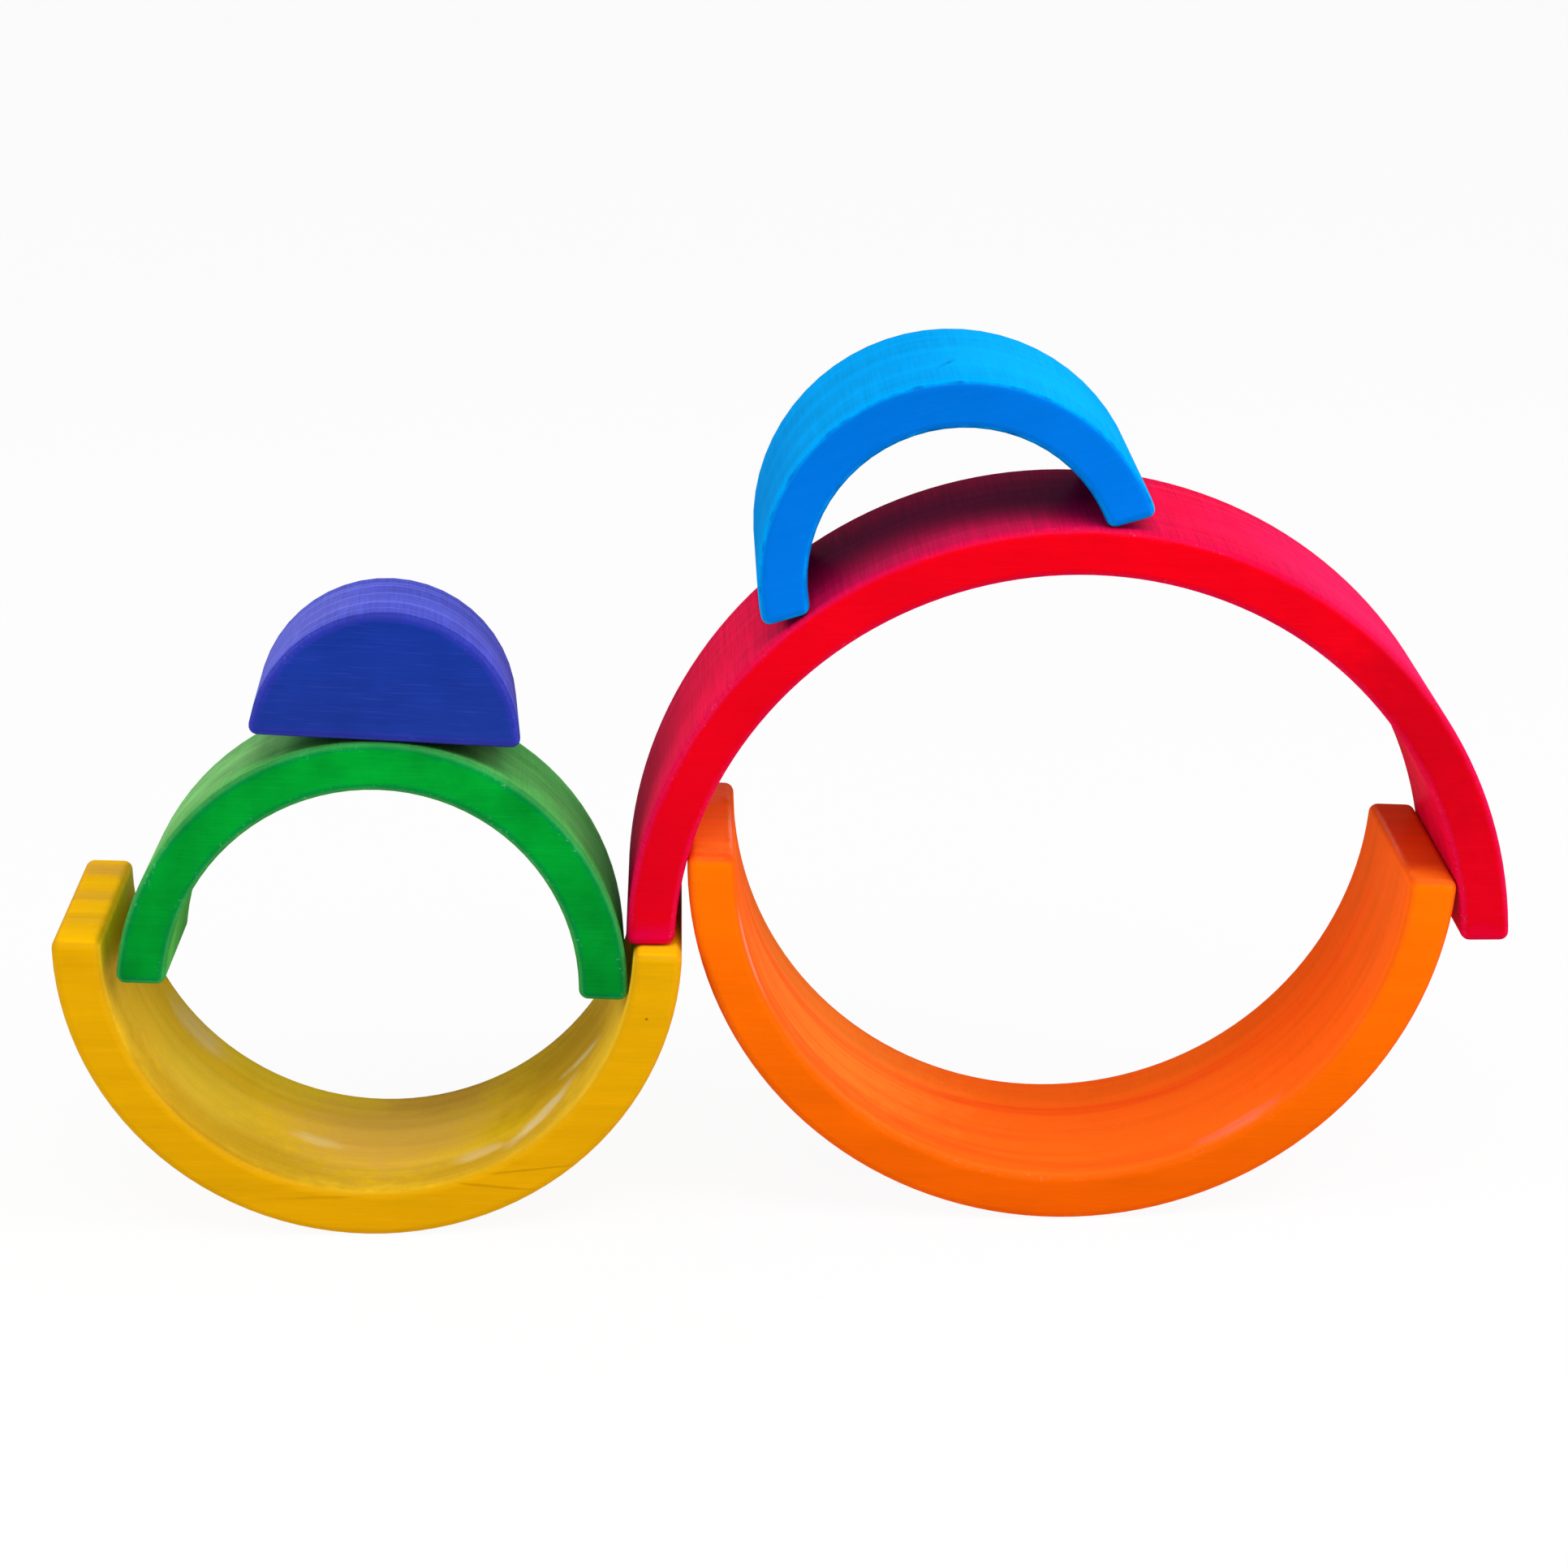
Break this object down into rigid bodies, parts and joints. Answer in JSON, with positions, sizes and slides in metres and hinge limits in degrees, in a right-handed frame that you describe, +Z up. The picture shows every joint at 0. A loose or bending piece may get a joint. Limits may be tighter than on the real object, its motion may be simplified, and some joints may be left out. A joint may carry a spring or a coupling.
{
  "type": "rainbow stacker",
  "caption": "Wooden rainbow stacking toy of nesting half rings and a solid half disc, stacked as two towers that lean on each other.",
  "frame": {"origin": "on the floor under the middle of the stack's box", "axes": "+X from the yellow cradle to the orange one, +Y from the front of the blocks to their back, +Z up"},
  "size_m": [0.4425, 0.0918, 0.2671],
  "materials": {
    "yellow_stain": "satin stain",
    "green_stain": "satin stain",
    "indigo_stain": "satin stain",
    "orange_stain": "satin stain",
    "red_stain": "satin stain",
    "blue_stain": "satin stain"
  },
  "bodies": {
    "orange_cradle": {"orange_cradle": "orange_stain"},
    "yellow_cradle": {"yellow_cradle": "yellow_stain"},
    "green_arch": {"green_arch": "green_stain"},
    "indigo_half_disc": {"indigo_half_disc": "indigo_stain"},
    "red_arch": {"red_arch": "red_stain"},
    "blue_arch": {"blue_arch": "blue_stain"}
  },
  "joints": [
    {"name": "yellow_pull", "type": "slide", "parent": "orange_cradle", "child": "yellow_cradle", "axis": [-1, 0, 0], "range_m": [0, 0.06]},
    {"name": "green_lift", "type": "slide", "parent": "yellow_cradle", "child": "green_arch", "axis": [-0.0872, 0, 0.9962], "range_m": [0, 0.06]},
    {"name": "indigo_lift", "type": "slide", "parent": "green_arch", "child": "indigo_half_disc", "axis": [0, 0, 1], "range_m": [0, 0.06]},
    {"name": "red_lift", "type": "slide", "parent": "orange_cradle", "child": "red_arch", "axis": [0, 0, 1], "range_m": [0, 0.06]},
    {"name": "blue_lift", "type": "slide", "parent": "red_arch", "child": "blue_arch", "axis": [0, 0, 1], "range_m": [0, 0.06]}
  ]
}
